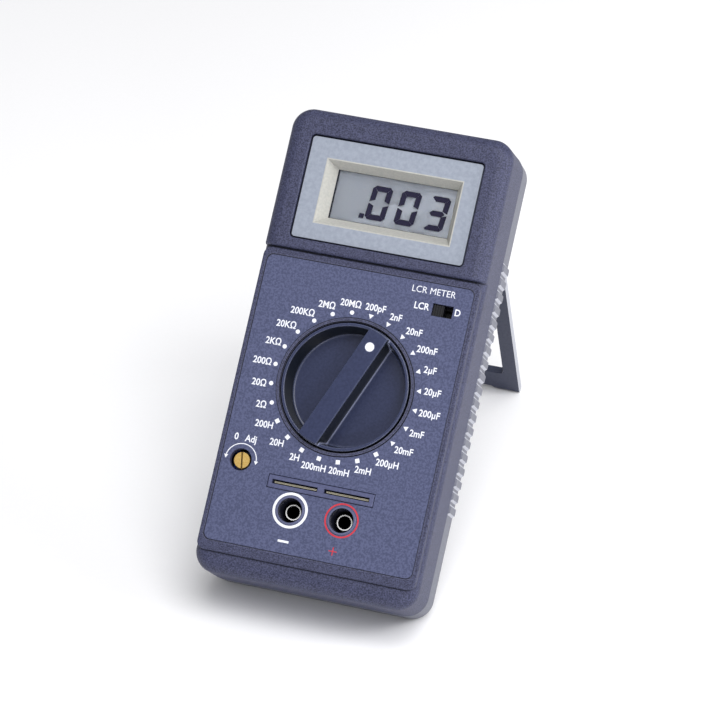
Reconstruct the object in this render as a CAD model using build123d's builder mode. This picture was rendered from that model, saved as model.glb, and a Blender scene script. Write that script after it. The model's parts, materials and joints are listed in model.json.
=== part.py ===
from build123d import *

import os
from math import acos, atan2, cos, degrees, hypot, radians, sin, tan

# Hand-held LCR meter standing on its open tilt stand, in millimetres.
#
# Every piece is drawn in the case's own frame: X to the right, Y up the face, Z out of the
# face, with the origin at the dial's centre on the panel. The last section turns the whole
# assembly to the angle at which the stand holds it on a table.

# ---------------------------------------------------------------- driving dimensions
# Case
case_width = 83.0
case_top = 97.8  # dial centre to the top end
case_bottom = 73.4  # dial centre to the bottom end
case_corner = 8.0
front_depth = 21.0  # panel to the parting line
rear_depth = 14.0  # parting line to the back
wall = 2.2
panel_thickness = 3.0
side_draft = 0.8  # degrees
front_round = 5.0
shoulder_drop = 1.0
rear_inset = 0.3
back_round = 4.0

# Hood round the display
hood_rise = 1.2
hood_bottom = 45.6
hood_lip_round = 0.9

# Raised plateau that carries the printed sheet
plateau_width = 80.6
plateau_top = 44.9
plateau_bottom = -66.0
plateau_corner = 3.0
plateau_edge = 0.5
overlay_width = 77.4
overlay_top = 42.6
overlay_bottom = -62.4
overlay_corner = 2.5
overlay_thickness = 0.25
overlay_sink = 0.05
overlay_gap = 0.35

# Finger ribs on the rear shell's sides
rib_count = 19
rib_pitch = 4.94
rib_top = 56.0
rib_crest = 2.5
rib_height = 0.8
rib_slope = 42.0  # degrees: lean of a rib's flanks and ends
rib_root = 0.3  # how far a rib starts inside the wall
rib_margin = 1.0

# Display
window_width = 64.8
window_bottom = 49.4
window_top = 88.0
window_corner = 1.8
window_gap = 0.7
window_edge = 0.35
window_ledge = 2.4
plate_thickness = 1.4
plate_drop = 1.0  # hood face to the plate
bezel_x = 0.5
bezel_y = 68.1
bezel_width = 51.0
bezel_height = 24.2
bezel_lip = 0.4
bezel_flange = 1.5
view_x = 0.95
view_y = 68.65
view_width = 44.4
view_height = 17.9
view_depth = 5.1  # plate to the clear window
clear_thickness = 0.6
glass_x = 0.5
glass_y = 67.75
glass_width = 50.0
glass_height = 26.0
glass_thickness = 1.9
glass_gap = 0.1
holder_wall = 1.2
zebra_width = 2.0
zebra_length = 46.0

# Main board
board_drop = 12.0  # panel to the board's front
board_thickness = 1.6
board_width = 74.0
board_top = 82.0
board_bottom = -58.0
board_corner = 2.0

# Range knob and its switch
knob_radius = 23.1
knob_gap = 0.5  # collar's bore to the knob
knob_play = 0.3  # collar's end to the knob's flange
knob_rim_rise = 0.6
knob_rim_wall = 1.2
knob_rim_taper = 1.3  # how much further in the floor's edge lies than the rim's
knob_floor_drop = 7.5
knob_floor_round = 0.8
knob_flange = 1.2
knob_flange_thickness = 0.6
collar_depth = 8.7
collar_wall = 1.9
ring_margin = 1.2  # collar bore to the ring's outside
ring_width = 0.9
ring_groove = 0.35  # ring to the printed sheet
ring_rise = 0.4
ring_step = 0.3
bar_width = 8.0
bar_rise = 3.0
bar_edge = 0.5
bar_inset = 0.25
dial_stops = 24
knob_stop = 67.5  # degrees: the stop that the bar points at
marker_radius = 1.6
marker_inset = 6.6  # knob's outside to the marker's centre
marker_depth = 0.8
rotor_thickness = 2.1
rotor_stub_radius = 3.0
rotor_stub_short = 0.3  # how far the stub stays inside the board's back
running_gap = 0.05
wiper_gap = 0.1
wiper_width = 1.6
wiper_length = 7.0
wiper_reach = 12.0
ball_radius = 1.0
ball_gap = 0.1
scallop_depth = 0.35
spring_length = 4.0
spring_radius = 0.9
spring_wire = 0.25
detent_wall = 1.5

# Slide switch
switch_x = 28.4
switch_y = 33.05
switch_opening = 7.6
switch_height = 4.5
lever_width = 3.9
lever_gap = 0.2
lever_travel = 3.3
lever_drop = 0.7
lever_rib = 0.45
switch_body_width = 13.0
switch_body_height = 6.8
switch_body_drop = 5.2
stem_width = 2.4
stem_depth = 3.0

# Zero-adjust trimmer
trimmer_x = -31.3
trimmer_y = -32.3
trimmer_hole = 4.0
trimmer_radius = 3.1
trimmer_drop = 1.8
trimmer_slot = 0.6
trimmer_slot_turn = 10.0  # degrees from straight up the face
trimmer_slot_depth = 0.8
trimmer_body = 7.0
trimmer_body_drop = 5.5
trimmer_neck = 1.2
trimmer_edge = 0.25

# Component fixture
fixture_x = -0.25
fixture_y = -37.65
fixture_width = 38.9
fixture_height = 4.5
fixture_rise = 0.3
fixture_gap = 0.25
fixture_edge = 0.25
slot_reach = 9.6  # fixture centre to each slot's centre
slot_width = 16.8
slot_height = 1.6
slot_depth = 10.0
contact_strip = 0.25
contact_width = 15.6
contact_drop = 1.2

# Jacks, a standard 19 mm pair for 4 mm plugs
jack_spacing = 19.0
jack_y = -46.65
jack_bore = 2.05
jack_tube = 2.8
jack_tube_drop = 5.0
jack_tube_length = 15.0  # depth of its bore
jack_web = 1.0
shroud_bore = 4.4
shroud_radius = 5.2
shroud_rise = 0.3
shroud_floor = 2.0
shroud_edge = 0.2
lug_length = 2.5
lug_radius = 1.0

# Tilt stand
stand_width = 66.0
stand_length = 112.6  # hinge axis to the foot's centre
stand_thickness = 3.0
stand_open = 67.0  # degrees from the back
stand_hinge_y = 75.5
stand_leg = 5.5
stand_bar = 6.0
stand_foot_bar = 11.8
stand_corner = 2.0
foot_width = 11.0
foot_step = 2.0
stand_gap = 0.4
stand_flush = 0.2
hinge_pin_radius = 1.1
hinge_pin_length = 2.5
pad_margin = 3.6
pad_wall = 1.6

# Battery bay
battery_width = 26.5
battery_length = 48.5
battery_thickness = 17.5
battery_bottom = -6.0
battery_gap = 0.3
terminal_height = 2.4
snap_thickness = 3.6
bay_wall = 1.2
door_margin = 3.5
door_thickness = 2.0
door_gap = 0.3
door_tail = 10.0
door_screw_head = 2.6
door_screw_radius = 1.4
door_screw_length = 6.0
door_post_radius = 3.5
lead_radius = 0.6
lead_run = 8.0  # snap to the turn towards the board
lead_bend = 3.0
terminal_large = 4.0
terminal_small = 3.4
battery_corner = 2.0
battery_edge = 0.5
snap_margin = 1.0  # battery's side to the snap's
snap_width = 12.0
snap_corner = 3.0
snap_clearance = 2.0  # snap to the bay's end

# Fasteners
post_x = 33.0
post_top = 88.0
post_bottom = -64.0
post_radius = 4.0
case_screw_radius = 1.5
case_screw_head = 2.9
case_screw_length = 18.0
case_screw_sink = 8.0
case_screw_head_height = 2.0
case_screw_spare = 1.0  # pilot left beyond the screw's end
screw_gap = 0.05
board_post_x = 34.0
board_post_top = 44.5
board_post_bottom = -52.0
board_post_radius = 2.6
board_screw_radius = 1.1
board_screw_head = 2.1
board_screw_length = 8.0
board_screw_head_height = 1.4

# ---------------------------------------------------------------- worked-out values
case_length = case_top + case_bottom
case_middle = (case_top - case_bottom) / 2
back = front_depth + rear_depth
board_front = -board_drop
board_back = board_front - board_thickness
plate_top = hood_rise - plate_drop
plate_bottom = plate_top - plate_thickness
clear_top = plate_top - view_depth
glass_top = clear_top - clear_thickness
glass_bottom = glass_top - glass_thickness
window_middle = (window_bottom + window_top) / 2
window_height = window_top - window_bottom
knob_floor_radius = knob_radius - knob_rim_wall - knob_rim_taper
collar_radius = knob_radius + knob_gap
ring_radius = collar_radius + ring_margin
marker_reach = knob_radius - marker_inset
rotor_radius = knob_radius + knob_flange
knob_bottom = -collar_depth - knob_play - knob_flange_thickness
rotor_bottom = knob_bottom - rotor_thickness
ball_z = knob_bottom - rotor_thickness / 2
ball_x = rotor_radius + ball_gap + ball_radius
detent_end = ball_x + ball_radius + spring_length
fixture_slots = [(fixture_x - slot_reach, fixture_y), (fixture_x + slot_reach, fixture_y)]
jack_places = [(-jack_spacing / 2, jack_y), (jack_spacing / 2, jack_y)]
shroud_bottom = -jack_tube_drop - jack_tube_length - jack_web - shroud_floor
hinge_z = -back + stand_flush + stand_thickness / 2
stand_end = stand_length + stand_thickness / 2
stand_floor = hinge_z + stand_thickness / 2 + stand_gap
stand_top = stand_hinge_y + stand_thickness / 2
stand_low = stand_hinge_y - stand_end
window_x = stand_width / 2 - stand_leg
rib_middle = rib_top - rib_pitch * (rib_count - 1) / 2
rib_spread = (rib_root + rib_height) * tan(radians(rib_slope))
rib_base = rib_crest + 2 * rib_spread
rib_front = front_depth + rib_root * tan(radians(rib_slope))
rib_depth = front_depth + rear_depth - back_round / 2 - rib_margin - rib_front
rib_z = -rib_front - rib_depth / 2
bay_top = -back + door_thickness + battery_gap + battery_thickness + battery_gap
bay_width = battery_width + 2 * battery_gap
bay_bottom = battery_bottom - battery_gap
snap_top = battery_bottom + battery_length + terminal_height + snap_thickness
bay_end = snap_top + snap_clearance
bay_length = bay_end - bay_bottom
bay_middle = (bay_end + bay_bottom) / 2
battery_back = -back + door_thickness + battery_gap
battery_z = battery_back + battery_thickness / 2
door_width = bay_width + 2 * door_margin
door_top = bay_end + door_margin
door_bottom = bay_bottom - door_tail
door_length = door_top - door_bottom
door_middle = (door_top + door_bottom) / 2
door_screw_y = door_bottom + door_tail / 2
case_posts = [(x, y) for x in (-post_x, post_x) for y in (post_bottom, post_top)]
board_posts = [(x, y) for x in (-board_post_x, board_post_x) for y in (board_post_bottom, board_post_top)]


def level(z):
    """Plane parallel to the panel at height z."""
    return Plane.XY.offset(z)


def case_outline(inset=0.0):
    """Draw the case's rounded outline, inside its largest size."""
    with Locations((0, case_middle)):
        RectangleRounded(case_width - 2 * inset, case_length - 2 * inset, case_corner - inset)


def block(low_x, high_x, low_y, high_y, corner=0.0, mode=Mode.ADD):
    """Draw a rectangle between two corners, with rounded corners if asked."""
    with Locations(((low_x + high_x) / 2, (low_y + high_y) / 2)):
        if corner:
            RectangleRounded(high_x - low_x, high_y - low_y, corner, mode=mode)
        else:
            Rectangle(high_x - low_x, high_y - low_y, mode=mode)


# ---------------------------------------------------------------- front shell
with BuildPart() as hood:
    with BuildSketch(level(-front_depth)):
        case_outline()
    extrude(amount=front_depth + hood_rise, taper=side_draft)
    fillet(hood.edges().group_by(Axis.Z)[-1], front_round)
    split(bisect_by=Plane((0, hood_bottom, 0), x_dir=(1, 0, 0), z_dir=(0, 1, 0)), keep=Keep.TOP)
    lip_face = hood.faces().sort_by(Axis.Y)[0]
    fillet(lip_face.edges().filter_by_position(Axis.Z, -front_round, hood_rise), hood_lip_round)

with BuildPart() as front_cavity:
    with BuildSketch(level(-front_depth)):
        case_outline(wall)
    extrude(amount=front_depth - panel_thickness)
    fillet(front_cavity.edges().group_by(Axis.Z)[-1], front_round - wall)

with BuildPart() as front_shell:
    with BuildSketch(level(-front_depth)):
        case_outline()
    extrude(amount=front_depth - shoulder_drop, taper=side_draft)
    fillet(front_shell.edges().group_by(Axis.Z)[-1], front_round)
    with BuildSketch(level(-shoulder_drop - front_round)):
        block(-plateau_width / 2, plateau_width / 2, plateau_bottom, plateau_top, plateau_corner)
    extrude(amount=shoulder_drop + front_round)
    fillet(front_shell.edges().group_by(Axis.Z)[-1], plateau_edge)
    add(hood.part)
    add(front_cavity.part, mode=Mode.SUBTRACT)
    # Recess for the printed sheet, which leaves the dial's ring standing
    with BuildSketch():
        block(-overlay_width / 2, overlay_width / 2, overlay_bottom, overlay_top, overlay_corner)
        Circle(ring_radius, mode=Mode.SUBTRACT)
    extrude(amount=-overlay_thickness - overlay_sink, mode=Mode.SUBTRACT)
    # Window with a ledge under the plate
    with BuildSketch(level(hood_rise)):
        block(-window_width / 2, window_width / 2, window_bottom, window_top, window_corner)
    extrude(amount=plate_bottom - hood_rise, mode=Mode.SUBTRACT)
    window_edges = front_shell.edges().filter_by_position(Axis.Z, hood_rise - 0.01, hood_rise + 0.01)
    window_reach = window_height / 2 + window_gap
    window_edges = window_edges.filter_by_position(Axis.Y, window_middle - window_reach, window_middle + window_reach)
    window_edges = window_edges.filter_by_position(Axis.X, -window_width / 2 - window_gap, window_width / 2 + window_gap)
    chamfer(window_edges, window_edge)
    with BuildSketch(level(plate_bottom)):
        with Locations((0, window_middle)):
            Rectangle(window_width - 2 * window_ledge, window_height - 2 * window_ledge)
    extrude(amount=-panel_thickness, mode=Mode.SUBTRACT)
    # Dial: stepped ring on the face, collar below it
    with BuildSketch(level(-ring_step)):
        Circle(ring_radius - ring_width)
    extrude(amount=ring_step, mode=Mode.SUBTRACT)
    with BuildSketch():
        Circle(ring_radius)
        Circle(ring_radius - ring_width, mode=Mode.SUBTRACT)
    extrude(amount=ring_rise)
    with BuildSketch(level(-collar_depth)):
        Circle(collar_radius + collar_wall)
    extrude(amount=collar_depth - panel_thickness)
    with BuildSketch(level(-collar_depth)):
        Circle(collar_radius)
    extrude(amount=collar_depth + ring_rise, mode=Mode.SUBTRACT)
    # Two detent housings beside the collar
    with BuildSketch(level(rotor_bottom)):
        for side in (-1, 1):
            inner = side * (rotor_radius + ball_gap)
            outer = side * (detent_end + detent_wall)
            half = ball_radius + detent_wall
            block(min(inner, outer), max(inner, outer), -half, half)
    extrude(amount=-rotor_bottom - panel_thickness / 2)
    with BuildSketch(level(rotor_bottom)):
        Circle(rotor_radius + ball_gap)
    extrude(amount=-rotor_bottom - collar_depth, mode=Mode.SUBTRACT)
    with Locations((0, 0, ball_z)):
        Cylinder(ball_radius + running_gap, 2 * detent_end, rotation=(0, 90, 0), mode=Mode.SUBTRACT)
    # Openings for the switch, trimmer, fixture and jacks
    with BuildSketch():
        with Locations((switch_x, switch_y)):
            Rectangle(switch_opening, switch_height)
        with Locations((trimmer_x, trimmer_y)):
            Circle(trimmer_hole)
        with Locations((fixture_x, fixture_y)):
            Rectangle(fixture_width + 2 * fixture_gap, fixture_height + 2 * fixture_gap)
        with Locations(*jack_places):
            Circle(shroud_radius)
    extrude(amount=-2 * panel_thickness, mode=Mode.SUBTRACT)
    # Posts for the case screws and the board screws
    with BuildSketch(level(-front_depth)):
        with Locations(*case_posts):
            Circle(post_radius)
    extrude(amount=front_depth - panel_thickness / 2)
    with BuildSketch(level(board_front)):
        with Locations(*board_posts):
            Circle(board_post_radius)
    extrude(amount=board_drop - panel_thickness / 2)
    with BuildSketch(level(-front_depth)):
        with Locations(*case_posts):
            Circle(case_screw_radius + screw_gap)
    extrude(amount=case_screw_length - rear_depth + case_screw_sink + case_screw_spare, mode=Mode.SUBTRACT)
    with BuildSketch(level(board_front)):
        with Locations(*board_posts):
            Circle(board_screw_radius + screw_gap)
    extrude(amount=board_screw_length, mode=Mode.SUBTRACT)

# ---------------------------------------------------------------- panel overlay
with BuildPart() as panel_overlay:
    with BuildSketch(level(-overlay_thickness - overlay_sink)):
        block(
            overlay_gap - overlay_width / 2,
            overlay_width / 2 - overlay_gap,
            overlay_bottom + overlay_gap,
            overlay_top - overlay_gap,
            overlay_corner,
        )
        Circle(ring_radius + ring_groove, mode=Mode.SUBTRACT)
        with Locations((switch_x, switch_y)):
            Rectangle(switch_opening, switch_height, mode=Mode.SUBTRACT)
        with Locations((trimmer_x, trimmer_y)):
            Circle(trimmer_hole, mode=Mode.SUBTRACT)
        with Locations((fixture_x, fixture_y)):
            Rectangle(fixture_width + 2 * fixture_gap, fixture_height + 2 * fixture_gap, mode=Mode.SUBTRACT)
        with Locations(*jack_places):
            Circle(shroud_radius + running_gap, mode=Mode.SUBTRACT)
    extrude(amount=overlay_thickness)

# ---------------------------------------------------------------- display
with BuildPart() as window_plate:
    with BuildSketch(level(plate_bottom)):
        with Locations((0, window_middle)):
            RectangleRounded(
                window_width - 2 * window_gap, window_height - 2 * window_gap, window_corner - window_gap
            )
        with Locations((bezel_x, bezel_y)):
            Rectangle(bezel_width, bezel_height, mode=Mode.SUBTRACT)
    extrude(amount=plate_thickness)

with BuildPart() as lcd_bezel:
    with BuildSketch(level(clear_top)):
        with Locations((bezel_x, bezel_y)):
            Rectangle(bezel_width + 2 * bezel_flange, bezel_height + 2 * bezel_flange)
    extrude(amount=plate_bottom - clear_top)
    with BuildSketch(level(plate_bottom)):
        with Locations((bezel_x, bezel_y)):
            Rectangle(bezel_width, bezel_height)
    extrude(amount=plate_thickness)
    with BuildSketch(level(clear_top)):
        with Locations((view_x, view_y)):
            Rectangle(view_width, view_height)
    with BuildSketch(level(plate_top)):
        with Locations((bezel_x, bezel_y)):
            Rectangle(bezel_width - 2 * bezel_lip, bezel_height - 2 * bezel_lip)
    loft(mode=Mode.SUBTRACT)

with BuildPart() as lcd_window:
    with BuildSketch(level(glass_top)):
        with Locations((glass_x, glass_y)):
            Rectangle(glass_width, glass_height)
    extrude(amount=clear_thickness)

with BuildPart() as lcd_glass:
    with BuildSketch(level(glass_bottom)):
        with Locations((glass_x, glass_y)):
            Rectangle(glass_width, glass_height)
    extrude(amount=glass_thickness)

with BuildPart() as lcd_holder:
    with BuildSketch(level(board_front)):
        with Locations((glass_x, glass_y)):
            Rectangle(glass_width + 2 * (glass_gap + holder_wall), glass_height + 2 * (glass_gap + holder_wall))
            Rectangle(glass_width + 2 * glass_gap, glass_height + 2 * glass_gap, mode=Mode.SUBTRACT)
    extrude(amount=clear_top - board_front)

with BuildPart() as lcd_zebra_strips:
    with BuildSketch(level(board_front)):
        with Locations((glass_x, glass_y)):
            with GridLocations(0, glass_height - 2 * zebra_width, 1, 2):
                Rectangle(zebra_length, zebra_width)
    extrude(amount=glass_bottom - board_front)

# ---------------------------------------------------------------- range knob
with BuildPart() as range_knob:
    with BuildSketch(Plane.XZ):
        with BuildLine():
            Polyline(
                (0, knob_bottom),
                (rotor_radius, knob_bottom),
                (rotor_radius, knob_bottom + knob_flange_thickness),
                (knob_radius, knob_bottom + knob_flange_thickness),
                (knob_radius, knob_rim_rise),
                (knob_radius - knob_rim_wall, knob_rim_rise),
                (knob_floor_radius, -knob_floor_drop),
                (0, -knob_floor_drop),
                close=True,
            )
        make_face()
    revolve(axis=Axis.Z)
    rim_edges = range_knob.edges().filter_by(GeomType.CIRCLE).group_by(Axis.Z)[-1]
    fillet(rim_edges, knob_rim_wall / 3)
    floor_edges = range_knob.edges().filter_by(GeomType.CIRCLE).filter_by_position(
        Axis.Z, -knob_floor_drop - 0.01, -knob_floor_drop + 0.01
    )
    fillet(floor_edges, knob_floor_round)
    with BuildSketch(level(-knob_floor_drop)):
        Circle(knob_radius - bar_inset)
        Rectangle(bar_width, 2 * knob_radius, rotation=knob_stop - 90, mode=Mode.INTERSECT)
    extrude(amount=knob_floor_drop + bar_rise)
    fillet(range_knob.edges().group_by(Axis.Z)[-1], bar_edge)
    with BuildSketch(level(bar_rise)):
        with PolarLocations(marker_reach, 1, start_angle=knob_stop):
            Circle(marker_radius)
    extrude(amount=-marker_depth, mode=Mode.SUBTRACT)

with BuildPart() as knob_marker:
    with BuildSketch(level(bar_rise - marker_depth)):
        with PolarLocations(marker_reach, 1, start_angle=knob_stop):
            Circle(marker_radius)
    extrude(amount=marker_depth)

with BuildPart() as switch_rotor:
    with BuildSketch(level(rotor_bottom)):
        Circle(rotor_radius)
        with PolarLocations(rotor_radius + ball_radius - scallop_depth, dial_stops):
            Circle(ball_radius, mode=Mode.SUBTRACT)
    extrude(amount=rotor_thickness)
    with BuildSketch(level(rotor_bottom)):
        Circle(rotor_stub_radius)
    extrude(amount=board_back + rotor_stub_short - rotor_bottom)

with BuildPart() as rotor_wipers:
    with BuildSketch(level(board_front + wiper_gap)):
        with PolarLocations(wiper_reach, 3, start_angle=knob_stop):
            Rectangle(wiper_length, wiper_width)
    extrude(amount=rotor_bottom - board_front - wiper_gap)

with BuildPart() as detent_balls:
    with Locations((-ball_x, 0, ball_z), (ball_x, 0, ball_z)):
        Sphere(ball_radius)

with BuildPart() as detent_springs:
    for side in (-1, 1):
        with Locations((side * (ball_x + ball_radius + spring_length / 2), 0, ball_z)):
            Cylinder(spring_radius, spring_length, rotation=(0, 90, 0))
            Cylinder(spring_radius - spring_wire, spring_length, rotation=(0, 90, 0), mode=Mode.SUBTRACT)

# ---------------------------------------------------------------- slide switch
lever_x = switch_x - switch_opening / 2 + lever_gap + lever_width / 2
lever_height = switch_height - 2 * lever_gap
lever_base = -switch_body_drop + lever_gap

with BuildPart() as slide_switch_body:
    with BuildSketch(level(board_front)):
        with Locations((switch_x, switch_y)):
            Rectangle(switch_body_width, switch_body_height)
    extrude(amount=board_drop - switch_body_drop)
    with BuildSketch(level(-switch_body_drop)):
        with Locations((lever_x + lever_travel / 2, switch_y)):
            Rectangle(stem_width + lever_travel + 2 * lever_gap, stem_width)
    extrude(amount=-stem_depth - lever_gap, mode=Mode.SUBTRACT)

with BuildPart() as slide_switch_lever:
    with BuildSketch(level(lever_base)):
        with Locations((lever_x, switch_y)):
            Rectangle(lever_width, lever_height)
    extrude(amount=-lever_drop - lever_rib - lever_base)
    with BuildSketch(level(-lever_drop - lever_rib)):
        with Locations((lever_x, switch_y)):
            with GridLocations(2 * lever_rib, 0, 4, 1):
                Rectangle(lever_rib, lever_height)
    extrude(amount=lever_rib)
    with BuildSketch(level(lever_base)):
        with Locations((lever_x, switch_y)):
            Rectangle(stem_width, stem_width - 2 * running_gap)
    extrude(amount=-stem_depth)

# ---------------------------------------------------------------- zero-adjust trimmer
with BuildPart() as trimmer_housing:
    with BuildSketch(level(board_front)):
        with Locations((trimmer_x, trimmer_y)):
            Rectangle(trimmer_body, trimmer_body)
    extrude(amount=board_drop - trimmer_body_drop)
    with BuildSketch(level(-trimmer_body_drop)):
        with Locations((trimmer_x, trimmer_y)):
            Circle(trimmer_neck + running_gap)
    extrude(amount=-2 * trimmer_neck, mode=Mode.SUBTRACT)

with BuildPart() as trimmer_screw:
    with BuildSketch(level(-trimmer_body_drop + lever_gap)):
        with Locations((trimmer_x, trimmer_y)):
            Circle(trimmer_radius)
    extrude(amount=trimmer_body_drop - lever_gap - trimmer_drop)
    chamfer(trimmer_screw.edges().group_by(Axis.Z)[-1], trimmer_edge)
    with BuildSketch(level(-trimmer_body_drop - trimmer_neck)):
        with Locations((trimmer_x, trimmer_y)):
            Circle(trimmer_neck)
    extrude(amount=trimmer_neck + lever_gap)
    with BuildSketch(level(-trimmer_drop)):
        with Locations((trimmer_x, trimmer_y)):
            Rectangle(trimmer_slot, 2 * trimmer_radius, rotation=trimmer_slot_turn)
    extrude(amount=-trimmer_slot_depth, mode=Mode.SUBTRACT)

# ---------------------------------------------------------------- component fixture
with BuildPart() as fixture_block:
    with BuildSketch(level(board_front)):
        with Locations((fixture_x, fixture_y)):
            Rectangle(fixture_width, fixture_height)
    extrude(amount=board_drop + fixture_rise)
    chamfer(fixture_block.edges().group_by(Axis.Z)[-1], fixture_edge)
    with BuildSketch(level(fixture_rise)):
        with Locations(*fixture_slots):
            Rectangle(slot_width, slot_height)
    extrude(amount=-slot_depth, mode=Mode.SUBTRACT)

with BuildPart() as fixture_contacts:
    # Each strip leans in from its slot's wall, so that a lead is gripped between two tips
    for slot_x, slot_y in fixture_slots:
        for side in (-1, 1):
            wall_y = slot_y + side * (slot_height / 2 - contact_strip)
            foot = (wall_y, fixture_rise - slot_depth + running_gap)
            grip_y = slot_y + side * (contact_strip / 2 + running_gap)
            tip = (grip_y, -contact_drop)
            with BuildSketch(Plane.YZ.offset(slot_x - contact_width / 2)):
                with BuildLine():
                    Polyline(foot, (grip_y, (foot[1] + tip[1]) / 2), tip)
                trace(line_width=contact_strip)
            extrude(amount=contact_width)

# ---------------------------------------------------------------- jacks
def jack_shroud(place):
    """Insulating sleeve of one jack, closed at the bottom round the tube's lug."""
    with BuildPart() as shroud:
        with BuildSketch(level(shroud_bottom)):
            with Locations(place):
                Circle(shroud_radius)
        extrude(amount=shroud_rise - shroud_bottom)
        chamfer(shroud.edges().group_by(Axis.Z)[-1], shroud_edge)
        with BuildSketch(level(shroud_rise)):
            with Locations(place):
                Circle(shroud_bore)
        extrude(amount=shroud_bottom + shroud_floor - shroud_rise, mode=Mode.SUBTRACT)
        with BuildSketch(level(shroud_bottom)):
            with Locations(place):
                Circle(lug_radius)
        extrude(amount=shroud_floor, mode=Mode.SUBTRACT)
    return shroud


def jack_sleeve(place):
    """Metal tube that takes the plug, closed by a web that carries the soldering lug."""
    with BuildPart() as tube:
        with BuildSketch(level(shroud_bottom + shroud_floor)):
            with Locations(place):
                Circle(jack_tube)
        extrude(amount=jack_tube_length + jack_web)
        with BuildSketch(level(-jack_tube_drop)):
            with Locations(place):
                Circle(jack_bore)
        extrude(amount=-jack_tube_length, mode=Mode.SUBTRACT)
        with BuildSketch(level(shroud_bottom - lug_length)):
            with Locations(place):
                Circle(lug_radius)
        extrude(amount=lug_length + shroud_floor)
    return tube


jack_shroud_minus = jack_shroud(jack_places[0])
jack_shroud_plus = jack_shroud(jack_places[1])
jack_tube_minus = jack_sleeve(jack_places[0])
jack_tube_plus = jack_sleeve(jack_places[1])

# ---------------------------------------------------------------- main board
with BuildPart() as main_board:
    with BuildSketch(level(board_back)):
        block(-board_width / 2, board_width / 2, board_bottom, board_top, board_corner)
        Circle(rotor_stub_radius + running_gap, mode=Mode.SUBTRACT)
        with Locations(*jack_places):
            Circle(shroud_radius + screw_gap, mode=Mode.SUBTRACT)
        with Locations(*board_posts):
            Circle(board_screw_radius + screw_gap, mode=Mode.SUBTRACT)
    extrude(amount=board_thickness)

# Parts on the board's back: place (x, y), size (x, y) and height of each
chips = [
    ((0.0, -26.0), (14.0, 14.0), 2.4),
    ((-22.0, -22.0), (10.0, 7.6), 2.4),
    ((-22.0, 2.0), (10.0, 7.6), 2.4),
    ((22.0, -16.0), (10.0, 6.0), 1.8),
    ((22.0, 4.0), (10.0, 6.0), 1.8),
]
cans = [((24.0, -34.0), 4.0, 11.0), ((-26.0, -40.0), 3.2, 9.0), ((23.0, 62.0), 5.0, 12.0)]
film_caps = [((22.0, 22.0), (12.0, 5.0), 9.0), ((22.0, 33.0), (12.0, 5.0), 9.0), ((-23.0, 20.0), (7.0, 4.5), 8.0)]
fuse_place = (-22.0, 66.0)
fuse_radius = 2.5
fuse_length = 20.0
fuse_lift = 1.5
clip_thickness = 0.5
clip_length = 5.0

with BuildPart() as board_chips:
    for place, (size_x, size_y), height in chips:
        with BuildSketch(level(board_back)):
            with Locations(place):
                RectangleRounded(size_x, size_y, 0.5)
        extrude(amount=-height)

with BuildPart() as electrolytic_cans:
    for place, radius, height in cans:
        with BuildSketch(level(board_back)):
            with Locations(place):
                Circle(radius)
        extrude(amount=-height)

with BuildPart() as film_capacitors:
    for place, (size_x, size_y), height in film_caps:
        with BuildSketch(level(board_back)):
            with Locations(place):
                RectangleRounded(size_x, size_y, 1.0)
        extrude(amount=-height)

fuse_z = board_back - fuse_lift - fuse_radius

with BuildPart() as fuse:
    with Locations((*fuse_place, fuse_z)):
        Cylinder(fuse_radius, fuse_length, rotation=(0, 90, 0))

with BuildPart() as fuse_clips:
    for side in (-1, 1):
        clip_x = fuse_place[0] + side * (fuse_length - clip_length) / 2
        with BuildSketch(Plane.YZ.offset(clip_x - clip_length / 2)):
            with Locations((fuse_place[1], fuse_z)):
                Circle(fuse_radius + clip_thickness)
            with Locations((fuse_place[1], (fuse_z + board_back) / 2)):
                Rectangle(fuse_radius, board_back - fuse_z)
            with Locations((fuse_place[1], fuse_z)):
                Circle(fuse_radius, mode=Mode.SUBTRACT)
            with Locations((fuse_place[1], fuse_z - fuse_radius)):
                Rectangle(2 * fuse_radius, fuse_radius, mode=Mode.SUBTRACT)
        extrude(amount=clip_length)

# ---------------------------------------------------------------- rear shell
with BuildPart() as rear_cavity:
    with BuildSketch(level(-front_depth)):
        case_outline(rear_inset + wall)
    extrude(amount=-rear_depth + wall)
    fillet(rear_cavity.edges().group_by(Axis.Z)[0], back_round - wall)

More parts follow.
